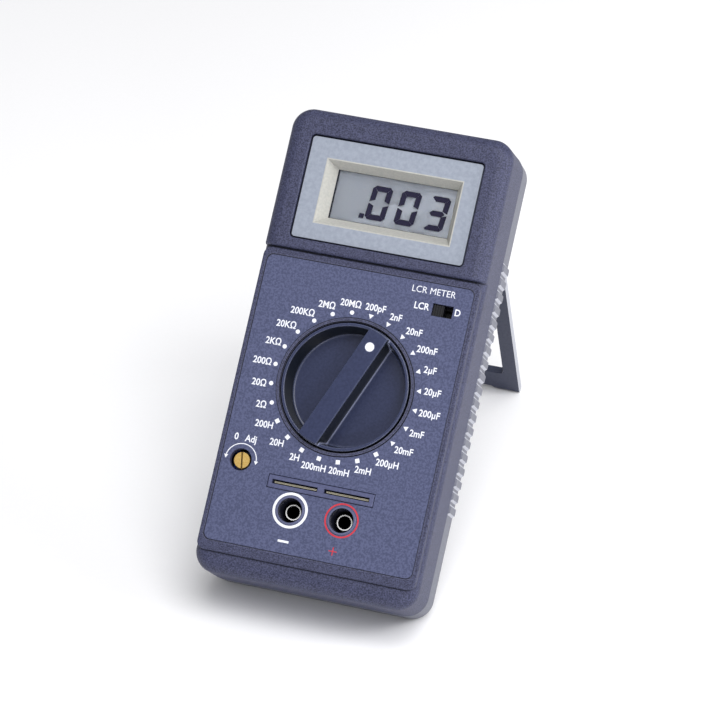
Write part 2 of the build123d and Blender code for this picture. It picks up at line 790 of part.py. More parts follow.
with BuildPart() as rear_shell:
    with BuildSketch(level(-front_depth)):
        case_outline(rear_inset)
    extrude(amount=-rear_depth)
    fillet(rear_shell.edges().group_by(Axis.Z)[0], back_round)
    add(rear_cavity.part, mode=Mode.SUBTRACT)
    # Thicker floor behind the stand's recess and round the battery door
    with BuildSketch(level(-back + wall)):
        pad_x = stand_width / 2 + stand_gap + pad_margin
        block(-pad_x, pad_x, stand_low - pad_margin, stand_top + pad_margin, pad_margin)
    extrude(amount=stand_floor + pad_wall + back - wall)
    # Battery bay, open at the back
    with BuildSketch(level(-back + wall)):
        with Locations((0, bay_middle)):
            Rectangle(bay_width + 2 * bay_wall, bay_length + 2 * bay_wall)
    extrude(amount=bay_top + bay_wall + back - wall)
    with BuildSketch(level(-back)):
        with Locations((0, bay_middle)):
            Rectangle(bay_width, bay_length)
    extrude(amount=bay_top + back, mode=Mode.SUBTRACT)
    with BuildSketch(level(-back)):
        with Locations((0, door_middle)):
            RectangleRounded(door_width + 2 * door_gap, door_length + 2 * door_gap, door_margin)
    extrude(amount=door_thickness + door_gap, mode=Mode.SUBTRACT)
    # Notch for the battery leads
    with BuildSketch(level(bay_top)):
        with Locations((0, bay_end)):
            Rectangle(6 * lead_radius, 4 * bay_wall)
    extrude(amount=battery_z - 2 * lead_radius - bay_top, mode=Mode.SUBTRACT)
    # Post for the door's screw
    with BuildSketch(level(stand_floor)):
        with Locations((0, door_screw_y)):
            Circle(door_post_radius)
    extrude(amount=door_screw_length)
    with BuildSketch(level(-back)):
        with Locations((0, door_screw_y)):
            Circle(door_screw_radius + screw_gap)
    extrude(amount=door_screw_length + door_thickness + door_gap, mode=Mode.SUBTRACT)
    # Recess for the folded stand, and the holes for its two pins
    with BuildSketch(level(-back)):
        recess_x = stand_width / 2 + stand_gap
        block(-recess_x, recess_x, stand_low - stand_gap, stand_top + stand_gap)
        block(
            stand_gap - window_x,
            window_x - stand_gap,
            stand_low + stand_foot_bar + stand_gap,
            stand_hinge_y - stand_bar - stand_gap,
            stand_corner,
            mode=Mode.SUBTRACT,
        )
    extrude(amount=stand_floor + back, mode=Mode.SUBTRACT)
    with Locations((0, stand_hinge_y, hinge_z)):
        hole_length = stand_width + 2 * (hinge_pin_length + stand_gap)
        Cylinder(hinge_pin_radius + running_gap, hole_length, rotation=(0, 90, 0), mode=Mode.SUBTRACT)
    # Posts for the case screws, sunk from the back
    with BuildSketch(level(-back + wall / 2)):
        with Locations(*case_posts):
            Circle(post_radius)
    extrude(amount=rear_depth - wall / 2)
    with BuildSketch(level(-back)):
        with Locations(*case_posts):
            Circle(case_screw_head + screw_gap)
    extrude(amount=case_screw_sink, mode=Mode.SUBTRACT)
    with BuildSketch(level(-back)):
        with Locations(*case_posts):
            Circle(case_screw_radius + screw_gap)
    extrude(amount=rear_depth, mode=Mode.SUBTRACT)
    # Finger ribs, tapered in plan and run out at both ends
    for side in (-1, 1):
        wall_x = side * (case_width / 2 - rear_inset)
        with BuildSketch(Plane.YZ.offset(wall_x - side * rib_root)):
            with Locations((rib_middle, rib_z)):
                with GridLocations(rib_pitch, 0, rib_count, 1):
                    RectangleRounded(rib_base, rib_depth, rib_spread + rib_crest / 4)
        extrude(amount=side * (rib_root + rib_height), taper=rib_slope)

# ---------------------------------------------------------------- tilt stand
lean_side = Vector(0, -cos(radians(stand_open)), -sin(radians(stand_open)))
hinge = Vector(0, stand_hinge_y, hinge_z)
foot = hinge + lean_side * stand_length
stand_middle = hinge + lean_side * (stand_length / 2)
stand_plane = Plane(
    origin=hinge, x_dir=(1, 0, 0), z_dir=(0, sin(radians(stand_open)), -cos(radians(stand_open)))
)

with BuildPart() as tilt_stand:
    # Side profile with full-round ends: one end is the hinge barrel, the other the foot
    with BuildSketch(Plane.YZ):
        with Locations((stand_middle.Y, stand_middle.Z)):
            SlotCenterToCenter(stand_length, stand_thickness, rotation=180 + stand_open)
    extrude(amount=stand_width / 2, both=True)
    with BuildSketch(stand_plane):
        block(-window_x, window_x, stand_bar, stand_end - stand_foot_bar, stand_corner)
    extrude(amount=stand_thickness, both=True, mode=Mode.SUBTRACT)
    with BuildSketch(stand_plane):
        with BuildLine():
            foot_x = stand_width / 2 - foot_width
            Polyline(
                (-foot_x - foot_step, stand_end + 1),
                (-foot_x - foot_step, stand_end),
                (-foot_x, stand_end - foot_step),
                (foot_x, stand_end - foot_step),
                (foot_x + foot_step, stand_end),
                (foot_x + foot_step, stand_end + 1),
                close=True,
            )
        make_face()
    extrude(amount=stand_thickness, both=True, mode=Mode.SUBTRACT)
    with Locations((0, stand_hinge_y, hinge_z)):
        Cylinder(hinge_pin_radius, stand_width + 2 * hinge_pin_length, rotation=(0, 90, 0))

# ---------------------------------------------------------------- battery and its door
with BuildPart() as battery_door:
    with BuildSketch(level(-back)):
        with Locations((0, door_middle)):
            RectangleRounded(door_width, door_length, door_margin)
    extrude(amount=door_thickness)
    with BuildSketch(level(-back)):
        with Locations((0, door_screw_y)):
            Circle(door_screw_radius + screw_gap)
    extrude(amount=door_thickness, mode=Mode.SUBTRACT)
    with BuildSketch(level(-back)):
        with Locations((0, door_screw_y)):
            Circle(door_screw_head + screw_gap)
    extrude(amount=door_thickness / 2, mode=Mode.SUBTRACT)
    # Three grip grooves above the screw
    with BuildSketch(level(-back)):
        with Locations((0, door_top - 2 * door_margin)):
            with GridLocations(0, door_thickness, 1, 3):
                RectangleRounded(door_width / 2, door_thickness / 2, door_thickness / 5)
    extrude(amount=door_thickness / 4, mode=Mode.SUBTRACT)

with BuildPart() as door_screw:
    with BuildSketch(level(-back)):
        with Locations((0, door_screw_y)):
            Circle(door_screw_head)
    extrude(amount=door_thickness / 2)
    with BuildSketch(level(-back)):
        with Locations((0, door_screw_y)):
            Circle(door_screw_radius)
    extrude(amount=door_thickness + door_screw_length)
    with BuildSketch(level(-back)):
        with Locations((0, door_screw_y)):
            Rectangle(2 * door_screw_head, door_screw_radius / 2)
            Rectangle(door_screw_radius / 2, 2 * door_screw_head)
    extrude(amount=door_thickness / 4, mode=Mode.SUBTRACT)

terminal_places = [(-battery_width / 4, terminal_large), (battery_width / 4, terminal_small)]
battery_top = battery_bottom + battery_length
end_plane = Plane((0, battery_top, battery_z), x_dir=(1, 0, 0), z_dir=(0, 1, 0))

with BuildPart() as battery:
    with BuildSketch(end_plane):
        RectangleRounded(battery_width, battery_thickness, battery_corner)
    extrude(amount=-battery_length)
    fillet(battery.edges().group_by(Axis.Y)[-1], battery_edge)
    for terminal_x, radius in terminal_places:
        with BuildSketch(end_plane):
            with Locations((terminal_x, 0)):
                Circle(radius)
        extrude(amount=terminal_height)

with BuildPart() as battery_snap:
    with BuildSketch(end_plane.offset(terminal_height)):
        RectangleRounded(battery_width - 2 * snap_margin, snap_width, snap_corner)
    extrude(amount=snap_thickness)

with BuildPart() as battery_leads:
    for side in (-1, 1):
        with BuildLine() as lead_route:
            lead_x = side * 1.5 * lead_radius
            FilletPolyline(
                (lead_x, snap_top, battery_z),
                (lead_x, snap_top + lead_run, battery_z),
                (lead_x, snap_top + lead_run, board_back),
                radius=lead_bend,
            )
        with BuildSketch(Plane((lead_x, snap_top, battery_z), z_dir=(0, 1, 0))):
            Circle(lead_radius)
        sweep(path=lead_route.wires()[0])

# ---------------------------------------------------------------- fasteners
with BuildPart() as case_screws:
    with BuildSketch(level(-back + case_screw_sink)):
        with Locations(*case_posts):
            Circle(case_screw_head)
    extrude(amount=-case_screw_head_height)
    with BuildSketch(level(-back + case_screw_sink - case_screw_head_height)):
        with Locations(*case_posts):
            Rectangle(2 * case_screw_radius, case_screw_radius / 2)
            Rectangle(case_screw_radius / 2, 2 * case_screw_radius)
    extrude(amount=case_screw_head_height / 2, mode=Mode.SUBTRACT)
    with BuildSketch(level(-back + case_screw_sink)):
        with Locations(*case_posts):
            Circle(case_screw_radius)
    extrude(amount=case_screw_length)

with BuildPart() as board_screws:
    with BuildSketch(level(board_back)):
        with Locations(*board_posts):
            Circle(board_screw_head)
    extrude(amount=-board_screw_head_height)
    with BuildSketch(level(board_back)):
        with Locations(*board_posts):
            Circle(board_screw_radius)
    extrude(amount=board_screw_length)

# ---------------------------------------------------------------- stance on the table
# The table touches the case's rounded bottom back edge and the stand's rounded foot, so it is
# the common tangent of the two circles, seen along X.
edge_y = -case_bottom + rear_inset + back_round
edge_z = -back + back_round
from_foot_y = edge_y - foot.Y
from_foot_z = edge_z - foot.Z
extra = back_round - stand_thickness / 2
lean = degrees(atan2(from_foot_z, from_foot_y) - acos(extra / hypot(from_foot_y, from_foot_z)))
turn = Location((0, 0, 0), (90 - lean, 0, 0))

pieces = {
    "front_shell": front_shell,
    "rear_shell": rear_shell,
    "panel_overlay": panel_overlay,
    "window_plate": window_plate,
    "lcd_bezel": lcd_bezel,
    "lcd_window": lcd_window,
    "lcd_glass": lcd_glass,
    "lcd_holder": lcd_holder,
    "lcd_zebra_strips": lcd_zebra_strips,
    "range_knob": range_knob,
    "knob_marker": knob_marker,
    "switch_rotor": switch_rotor,
    "rotor_wipers": rotor_wipers,
    "detent_balls": detent_balls,
    "detent_springs": detent_springs,
    "slide_switch_body": slide_switch_body,
    "slide_switch_lever": slide_switch_lever,
    "trimmer_housing": trimmer_housing,
    "trimmer_screw": trimmer_screw,
    "fixture_block": fixture_block,
    "fixture_contacts": fixture_contacts,
    "jack_shroud_minus": jack_shroud_minus,
    "jack_shroud_plus": jack_shroud_plus,
    "jack_tube_minus": jack_tube_minus,
    "jack_tube_plus": jack_tube_plus,
    "main_board": main_board,
    "board_chips": board_chips,
    "electrolytic_cans": electrolytic_cans,
    "film_capacitors": film_capacitors,
    "fuse": fuse,
    "fuse_clips": fuse_clips,
    "tilt_stand": tilt_stand,
    "battery_door": battery_door,
    "door_screw": door_screw,
    "battery": battery,
    "battery_snap": battery_snap,
    "battery_leads": battery_leads,
    "case_screws": case_screws,
    "board_screws": board_screws,
}

turned = {name: builder.part.moved(turn) for name, builder in pieces.items()}
whole = Compound(list(turned.values())).bounding_box()
centre = whole.center()
to_table = Location((-centre.X, -centre.Y, -whole.min.Z))

os.makedirs("parts", exist_ok=True)
for name, piece in turned.items():
    standing = piece.moved(to_table)
    standing.label = name
    export_step(standing, f"parts/{name}.step")

print(f"lean {lean:.3f} degrees, moved by {-centre.X:.3f}, {-centre.Y:.3f}, {-whole.min.Z:.3f}")
print(f"whole size {whole.size}")
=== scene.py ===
import json
import math

import bpy
from bpy.props import FloatProperty, PointerProperty
from mathutils import Matrix, Vector


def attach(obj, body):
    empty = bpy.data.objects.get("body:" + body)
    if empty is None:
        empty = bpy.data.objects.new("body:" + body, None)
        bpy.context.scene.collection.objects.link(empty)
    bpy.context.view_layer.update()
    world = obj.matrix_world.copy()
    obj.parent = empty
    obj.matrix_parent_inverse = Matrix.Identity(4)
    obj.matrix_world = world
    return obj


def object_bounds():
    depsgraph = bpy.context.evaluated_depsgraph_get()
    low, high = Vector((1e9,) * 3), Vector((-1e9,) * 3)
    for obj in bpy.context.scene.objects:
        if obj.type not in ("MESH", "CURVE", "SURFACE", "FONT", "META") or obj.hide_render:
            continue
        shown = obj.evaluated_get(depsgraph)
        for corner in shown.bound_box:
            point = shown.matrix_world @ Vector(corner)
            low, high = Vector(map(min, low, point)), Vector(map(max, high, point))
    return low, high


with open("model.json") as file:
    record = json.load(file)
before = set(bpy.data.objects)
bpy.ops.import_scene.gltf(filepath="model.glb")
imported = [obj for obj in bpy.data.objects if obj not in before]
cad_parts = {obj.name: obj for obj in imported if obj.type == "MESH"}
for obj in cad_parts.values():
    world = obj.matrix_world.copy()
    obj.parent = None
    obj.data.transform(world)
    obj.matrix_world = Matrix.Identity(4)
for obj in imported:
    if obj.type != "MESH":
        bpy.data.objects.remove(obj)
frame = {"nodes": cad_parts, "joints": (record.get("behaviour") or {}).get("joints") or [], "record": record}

bl_info = {
    "name": "LCR Meter Looks",
    "version": (1, 0, 0),
    "blender": (4, 5, 0),
    "location": "View3D > Sidebar > LCR Meter",
    "description": "Prints, digits and finishes of a hand-held LCR meter",
    "category": "Object",
}

MM = 0.001
CAD_BOX = [list(corner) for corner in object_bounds()]


# ---------------------------------------------------------------- places
def joint(name):
    """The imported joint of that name."""
    return next(j for j in frame["joints"] if j["name"] == name)


# The face's own frame: X to the right, Y up the face, Z out of it, origin at the dial's centre
FACE_OUT = Vector(joint("range_knob_turn")["axis"]).normalized()
FACE_RIGHT = Vector((1, 0, 0))
FACE_UP = FACE_OUT.cross(FACE_RIGHT)
FACE = Matrix((FACE_RIGHT, FACE_UP, FACE_OUT)).transposed().to_4x4()
FACE.translation = Vector(joint("range_knob_turn")["pos_m"])
TO_FACE = FACE.inverted()


def face_box(node):
    """Lowest and highest corner of a CAD node in the face's frame."""
    points = [TO_FACE @ v.co for v in frame["nodes"][node].data.vertices]
    low = Vector([min(p[i] for p in points) for i in range(3)])
    high = Vector([max(p[i] for p in points) for i in range(3)])
    return low, high


def face_middle(node):
    """Middle of a CAD node's box in the face's frame."""
    low, high = face_box(node)
    return (low + high) / 2


# ---------------------------------------------------------------- colour and node helpers
def linear(code):
    """Linear RGBA of an sRGB hex colour."""
    channels = [int(code[i : i + 2], 16) / 255 for i in (1, 3, 5)]
    return tuple(c / 12.92 if c <= 0.04045 else ((c + 0.055) / 1.055) ** 2.4 for c in channels) + (1.0,)


def add(tree, kind, inputs=None, **settings):
    """Add a node, set its properties, and fill its inputs with values or other nodes' sockets."""
    new = tree.nodes.new(kind)
    for name, value in settings.items():
        setattr(new, name, value)
    for name, value in (inputs or {}).items():
        if isinstance(value, bpy.types.NodeSocket):
            tree.links.new(value, new.inputs[name])
        else:
            new.inputs[name].default_value = value
    return new


def blank(name, **sockets):
    """New material with a Principled shader, its constant sockets set."""
    material = bpy.data.materials.new(name)
    material.use_nodes = True
    shader = material.node_tree.nodes["Principled BSDF"]
    for socket, value in sockets.items():
        shader.inputs[socket.replace("_", " ")].default_value = value
    return material, material.node_tree, shader


# ---------------------------------------------------------------- materials
def speckle(tree, size_mm):
    """Noise whose grains are about size_mm across, on the object's own coordinates."""
    place = add(tree, "ShaderNodeTexCoord").outputs["Object"]
    grain = {"Vector": place, "Scale": 1 / (size_mm * MM), "Detail": 2.0, "Roughness": 0.6}
    return add(tree, "ShaderNodeTexNoise", grain)


def blend_in(tree, shader, share, tone):
    """Blend a tone over the shader's colour by a share."""
    skin = shader.inputs["Base Color"].links[0].from_socket
    ends = {"Factor": share, 6: skin, 7: linear(tone)}
    colour = add(tree, "ShaderNodeMix", ends, data_type="RGBA")
    tree.links.new(colour.outputs[2], shader.inputs["Base Color"])


EDGE_START = 0.92  # share of free rays under which an edge's tone starts
EDGE_FULL = 0.55  # share at which it is at its strongest


def near_edges(tree, shader, tone, width_mm, most, inside):
    """Blend a tone in near edges: outer ones, met by rays inside the piece, or inner ones, met by rays
    outside it. Light tones here are painted highlights, with some wear on outer edges; dark tones are
    painted shade in hollows.
    """
    reach = {"Distance": width_mm * MM}
    # Occlusion rays decide where the painted highlight or painted shade goes
    rays = add(tree, "ShaderNodeAmbientOcclusion", reach, samples=8, inside=inside, only_local=True)
    painted_edge_share = {"Value": rays.outputs["AO"], "From Min": EDGE_START, "From Max": EDGE_FULL, "To Max": most}
    blend_in(tree, shader, add(tree, "ShaderNodeMapRange", painted_edge_share).outputs[0], tone)


def by_facing(tree, shader, axis, tone, start, full):
    """Blend a tone in as the normal's share along an axis goes from start to full."""
    normal = add(tree, "ShaderNodeTexCoord").outputs["Normal"]
    tilt = add(tree, "ShaderNodeVectorMath", {0: normal, 1: axis}, operation="DOT_PRODUCT")
    size = add(tree, "ShaderNodeMath", {0: tilt.outputs["Value"]}, operation="ABSOLUTE")
    share = {"Value": size.outputs[0], "From Min": start, "From Max": full}
    blend_in(tree, shader, add(tree, "ShaderNodeMapRange", share).outputs[0], tone)


def mottle(tree, shader, dark, light, size_mm, low=0.35, high=0.65):
    """Colour the shader between two tones that follow a fine noise."""
    noise = speckle(tree, size_mm)
    ramp = add(tree, "ShaderNodeValToRGB", {"Fac": noise.outputs["Fac"]})
    ramp.color_ramp.elements[0].position = low
    ramp.color_ramp.elements[0].color = linear(dark)
    ramp.color_ramp.elements[1].position = high
    ramp.color_ramp.elements[1].color = linear(light)
    tree.links.new(ramp.outputs["Color"], shader.inputs["Base Color"])
    return noise


def relief(tree, shader, height, depth_mm, strength):
    """Bump the shader by a height socket."""
    bump = add(tree, "ShaderNodeBump", {"Height": height, "Distance": depth_mm * MM, "Strength": strength})
    tree.links.new(bump.outputs["Normal"], shader.inputs["Normal"])


def spark_grained_abs(name, dark, light, edge, painted_groove_shade):
    """ABS from a spark-eroded mould: pits about half a millimetre across that scatter the light."""
    material, tree, shader = blank(name, Roughness=0.5, IOR=1.53, Specular_IOR_Level=0.25)
    noise = mottle(tree, shader, dark, light, size_mm=0.5, low=0.36, high=0.64)
    # Painted highlight, with a little wear, along the shell's outer edges
    near_edges(tree, shader, edge, width_mm=0.35, most=0.1, inside=True)
    # Painted shade, a near-black tone, in grooves and recesses by inner edges
    near_edges(tree, shader, painted_groove_shade, width_mm=0.7, most=0.9, inside=False)
    relief(tree, shader, noise.outputs["Fac"], depth_mm=0.1, strength=0.7)
    return material


def satin_abs(name, dark, light, roughness=0.42, grain=0.9):
    """ABS from a lightly etched mould: an even satin with a faint cloud in its colour."""
    material, tree, shader = blank(name, Roughness=roughness, IOR=1.53, Specular_IOR_Level=0.3)
    noise = mottle(tree, shader, dark, light, size_mm=grain)
    relief(tree, shader, noise.outputs["Fac"], depth_mm=0.04, strength=0.4)
    return material


RIB_LEAN = 0.67  # share of a rib's slope that faces along the case
RIB_SPREAD = 0.12  # how far from that share a face still counts as a slope
RIBS_MIDDLE = 11.5  # dial's centre to the middle of the row of ribs, mm
RIBS_REACH = 47.5  # half the row's length, mm


def ribbed_abs(name, dark, light, painted_flank_light):
    """Satin ABS of the ribbed rear shell: the slopes carry a painted light tone, as a highlight, and the
    crests stay darker.
    """
    material, tree, shader = blank(name, Roughness=0.42, IOR=1.53, Specular_IOR_Level=0.3)
    noise = mottle(tree, shader, dark, light, size_mm=0.9)
    coords = add(tree, "ShaderNodeTexCoord").outputs
    # Painted light: faces sloping along the case, within the row of ribs, take the lighter flank tone
    lean = add(tree, "ShaderNodeVectorMath", {0: coords["Normal"], 1: FACE_UP}, operation="DOT_PRODUCT")
    lean = add(tree, "ShaderNodeMath", {0: lean.outputs["Value"]}, operation="ABSOLUTE")
    slope = {0: lean.outputs[0], 1: RIB_LEAN, 2: RIB_SPREAD}
    height = add(tree, "ShaderNodeVectorMath", {0: coords["Object"], 1: FACE_UP}, operation="DOT_PRODUCT")
    middle = FACE_UP.dot(FACE.translation) + RIBS_MIDDLE * MM
    stretch = {0: height.outputs["Value"], 1: middle, 2: RIBS_REACH * MM}
    both = {
        0: add(tree, "ShaderNodeMath", slope, operation="COMPARE").outputs[0],
        1: add(tree, "ShaderNodeMath", stretch, operation="COMPARE").outputs[0],
    }
    blend_in(tree, shader, add(tree, "ShaderNodeMath", both, operation="MULTIPLY").outputs[0], painted_flank_light)
    # Painted highlight along the ribs' outer edges, with some wear
    near_edges(tree, shader, painted_flank_light, width_mm=0.5, most=0.55, inside=True)
    relief(tree, shader, noise.outputs["Fac"], depth_mm=0.04, strength=0.4)
    return material


def painted_side_light_abs(name, dark, light, side):
    """ABS of the stand: satin faces, and long sides in a painted lighter tone, as a highlight from the side.
    """
    material, tree, shader = blank(name, Roughness=0.38, IOR=1.53, Specular_IOR_Level=0.35)
    noise = mottle(tree, shader, dark, light, size_mm=0.9)
    # Painted highlight: faces turned to either side, the stand's long sides, take the lighter tone
    by_facing(tree, shader, FACE_RIGHT, side, start=0.7, full=0.9)
    relief(tree, shader, noise.outputs["Fac"], depth_mm=0.04, strength=0.4)
    return material


def shade_painted_moulding(name, dark, light, painted_wall_shade, edge):
    """ABS whose faces are etched to a satin, and whose steep walls carry painted shade, a darker tone."""
    material, tree, shader = blank(name, Roughness=0.3, IOR=1.53, Specular_IOR_Level=0.4)
    noise = mottle(tree, shader, dark, light, size_mm=0.9)
    # Painted shade: steep walls take the near-black tone
    by_facing(tree, shader, FACE_OUT, painted_wall_shade, start=0.75, full=0.45)
    # Painted highlight, with some wear, along outer edges
    near_edges(tree, shader, edge, width_mm=0.35, most=0.75, inside=True)
    # Painted highlight near inner edges, as in the fillet round the dish's floor
    near_edges(tree, shader, edge, width_mm=0.8, most=0.7, inside=False)
    relief(tree, shader, noise.outputs["Fac"], depth_mm=0.03, strength=0.3)
    return material


def printed_film(name, dark, light):
    """Polycarbonate film printed from behind: matt, with a velvet texture of half a millimetre."""
    material, tree, shader = blank(name, Roughness=0.6, IOR=1.58, Specular_IOR_Level=0.15)
    noise = mottle(tree, shader, dark, light, size_mm=0.75, low=0.42, high=0.58)
    relief(tree, shader, noise.outputs["Fac"], depth_mm=0.04, strength=0.4)
    return material


def silk_screen_ink(name, dark, light):
    """Screen ink: a dull opaque skin whose tone varies a little over each stroke."""
    material, tree, shader = blank(name, Roughness=0.6, Specular_IOR_Level=0.2)
    mottle(tree, shader, dark, light, size_mm=0.6)
    return material


def gloss_plastic(name, dark, light):
    """Polished moulding with a long soft ripple left by the mould."""
    material, tree, shader = blank(name, Roughness=0.25, IOR=1.5)
    noise = mottle(tree, shader, dark, light, size_mm=4.0)
    relief(tree, shader, noise.outputs["Fac"], depth_mm=0.02, strength=0.2)
    return material


def clear_sheet(name, tint):
    """Polished clear sheet or tube: bright edges, the piece behind it shows through."""
    material, tree, shader = blank(name, Roughness=0.03, IOR=1.49, Transmission_Weight=1.0)
    mottle(tree, shader, tint, "#f6f8fb", size_mm=6.0)
    return material


def lcd_polariser(name, dark, light):
    """Reflective liquid crystal glass: a grey-blue film with a fine sparkle."""
    material, tree, shader = blank(name, Roughness=0.4, IOR=1.5, Specular_IOR_Level=0.3)
    mottle(tree, shader, dark, light, size_mm=0.5)
    return material


def turned_metal(name, dark, light, roughness):
    """Plated or bare metal off a lathe or press, with faint tool lines and painted shade in its slots."""
    material, tree, shader = blank(name, Metallic=1.0, Roughness=roughness)
    noise = mottle(tree, shader, dark, light, size_mm=0.5)
    # Painted shade: a dark brown tone in slots and hollows by inner edges
    near_edges(tree, shader, "#2a2118", width_mm=0.7, most=0.9, inside=False)
    relief(tree, shader, noise.outputs["Fac"], depth_mm=0.01, strength=0.3)
    return material


def sprung_strip(name, dark, light, painted_slot_shade):
    """Plated spring strip: bright on its level lips, and painted dark, as shade, where its leaves turn down
    into the slot.
    """
    material, tree, shader = blank(name, Metallic=0.6, Roughness=0.4)
    noise = mottle(tree, shader, dark, light, size_mm=0.5)
    # Painted shade: faces turning down into the slot take the near-black tone
    by_facing(tree, shader, FACE_OUT, painted_slot_shade, start=0.9, full=0.7)
    relief(tree, shader, noise.outputs["Fac"], depth_mm=0.01, strength=0.3)
    return material


def solder_resist(name):
    """Green resist over copper: glossy, with dark tracks about a millimetre wide showing through."""
    material, tree, shader = blank(name, Roughness=0.3)
    mottle(tree, shader, "#14502c", "#1c6a3a", size_mm=1.2, low=0.48, high=0.52)
    return material


RIM_BLUR = 0.04  # half the width over which a rim's tone gives way to its bore's, mm


def rimmed(name, dark, light, painted_bore_shade, place, reach, **sockets):
    """Round piece that is bright past a reach in millimetres from its axis, and within it carries a dark
    tone, painted shade in its bore.
    """
    material, tree, shader = blank(name, **sockets)
    point = add(tree, "ShaderNodeTexCoord").outputs["Object"]
    arm = add(tree, "ShaderNodeVectorMath", {0: point, 1: FACE @ (place * MM)}, operation="SUBTRACT")
    side = add(tree, "ShaderNodeVectorMath", {0: arm.outputs[0], 1: FACE_OUT}, operation="CROSS_PRODUCT")
    radius = add(tree, "ShaderNodeVectorMath", {0: side.outputs[0]}, operation="LENGTH")
    edge = {
        "Value": radius.outputs["Value"],
        "From Min": (reach - RIM_BLUR) * MM,
        "From Max": (reach + RIM_BLUR) * MM,
    }
    share = add(tree, "ShaderNodeMapRange", edge)
    noise = speckle(tree, 0.5)
    tone = {"Factor": noise.outputs["Fac"], 6: linear(dark), 7: linear(light)}
    skin = add(tree, "ShaderNodeMix", tone, data_type="RGBA")
    # Painted shade: inside the reach the bore's dark tone replaces the skin
    ends = {"Factor": share.outputs[0], 6: linear(painted_bore_shade), 7: skin.outputs[2]}
    colour = add(tree, "ShaderNodeMix", ends, data_type="RGBA")
    tree.links.new(colour.outputs[2], shader.inputs["Base Color"])
    return material


FINISHES = {
    # Front shell: its last two tones are a painted edge highlight and painted groove shade
    "front_plastic": lambda: spark_grained_abs(
        "grained_slate_abs", "#292b40", "#4a4d69", "#b9bbd2", "#101119"
    ),
    # Rear shell: its last tone is painted light on the rib slopes and edges
    "rear_plastic": lambda: ribbed_abs("satin_grey_abs", "#5a5c69", "#666875", "#b4b6c0"),
    "overlay_film": lambda: printed_film("printed_polycarbonate_film", "#454a66", "#555a79"),
    "window_plate": lambda: satin_abs("printed_window_plate", "#8a919f", "#949ba9", 0.45, 1.5),
    "bezel_plastic": lambda: satin_abs("cream_moulded_abs", "#aaaaa6", "#b5b4ae", 0.45),
    "clear_acrylic": lambda: clear_sheet("clear_cast_acrylic", "#f0f3f8"),
    "lcd": lambda: lcd_polariser("lcd_polariser_film", "#eef4ff", "#f4f8ff"),
    "black_plastic": lambda: satin_abs("black_nylon", "#0c0c12", "#14141c"),
    "fixture_plastic": lambda: satin_abs("slate_moulded_nylon", "#484c6a", "#535778"),
    "soft_rubber": lambda: satin_abs("zebra_silicone_rubber", "#b0607a", "#c0708a", 0.6),
    # Knob: its last two tones are painted wall shade and a painted edge highlight
    "knob_plastic": lambda: shade_painted_moulding(
        "navy_moulded_abs", "#252c4a", "#2d3453", "#10151b", "#a8aecb"
    ),
    "white_plastic": lambda: satin_abs("white_moulded_abs", "#e4e4e8", "#f2f2f2"),
    # Contact strip: its last tone is painted shade in the slot
    "contact_metal": lambda: sprung_strip("nickel_plated_spring_brass", "#c4bea8", "#d4ceb8", "#0e0d0c"),
    "steel": lambda: turned_metal("zinc_plated_steel", "#b0b4bc", "#bcc0c8", 0.35),
    "blue_plastic": lambda: gloss_plastic("blue_moulded_nylon", "#1a3890", "#2040a0"),
    "brass": lambda: turned_metal("turned_brass", "#e0b968", "#f2cf84", 0.38),
    "board_laminate": lambda: solder_resist("green_solder_resist"),
    "chip_epoxy": lambda: satin_abs("moulded_black_epoxy", "#101012", "#18181a", 0.6),
    "can_aluminium": lambda: turned_metal("drawn_aluminium_can", "#c0c4c8", "#ccd0d4", 0.3),
    "film_epoxy": lambda: gloss_plastic("dipped_red_epoxy", "#842014", "#90281c"),
    "fuse_glass": lambda: clear_sheet("drawn_glass_tube", "#eaf4f2"),
    # Stand: its last tone is painted light on its long sides
    "stand_plastic": lambda: painted_side_light_abs("slate_moulded_stand_abs", "#2c3146", "#363b50", "#a3a6b0"),
    "battery_jacket": lambda: gloss_plastic("printed_steel_jacket", "#1c1c20", "#26262a"),
    "lead_sleeve": lambda: gloss_plastic("red_pvc_sleeve", "#981616", "#a41c1c"),
    "white_ink": lambda: silk_screen_ink("white_screen_ink", "#dfe1ea", "#eceef4"),
    "red_ink": lambda: silk_screen_ink("red_screen_ink", "#b8323e", "#c43c48"),
    "digit_dye": lambda: silk_screen_ink("liquid_crystal_segments", "#16132c", "#1e1b35"),
    "window_ink": lambda: silk_screen_ink("black_window_ink", "#1a1b26", "#242634"),
}
MADE = {}


def finish_of(name):
    """Material of that finish, made once."""
    if name not in MADE:
        MADE[name] = FINISHES[name]()
    return MADE[name]


# ---------------------------------------------------------------- modelling helpers
def clear_selection():
    """Leave edit mode and deselect everything."""
    if bpy.context.object and bpy.context.object.mode != "OBJECT":
        bpy.ops.object.mode_set(mode="OBJECT")
    bpy.ops.object.select_all(action="DESELECT")


def only(piece):
    """Make one object the only selected and active one."""
    clear_selection()
    piece.select_set(True)
    bpy.context.view_layer.objects.active = piece
    return piece


def pick(piece, test):
    """Select the faces of a mesh, in object mode, whose centre and normal pass the test."""
    bpy.context.tool_settings.mesh_select_mode = (False, False, True)
    for part in (piece.data.vertices, piece.data.edges, piece.data.polygons):
        part.foreach_set("select", [False] * len(part))
    for face in piece.data.polygons:
        face.select = bool(test(face.center, face.normal))


def close_up(piece):
    """Merge doubled points and point the faces outwards."""
    only(piece)
    bpy.ops.object.mode_set(mode="EDIT")
    bpy.ops.mesh.select_all(action="SELECT")
    bpy.ops.mesh.remove_doubles(threshold=0.002 * MM)
    bpy.ops.mesh.normals_make_consistent(inside=False)
    bpy.ops.object.mode_set(mode="OBJECT")


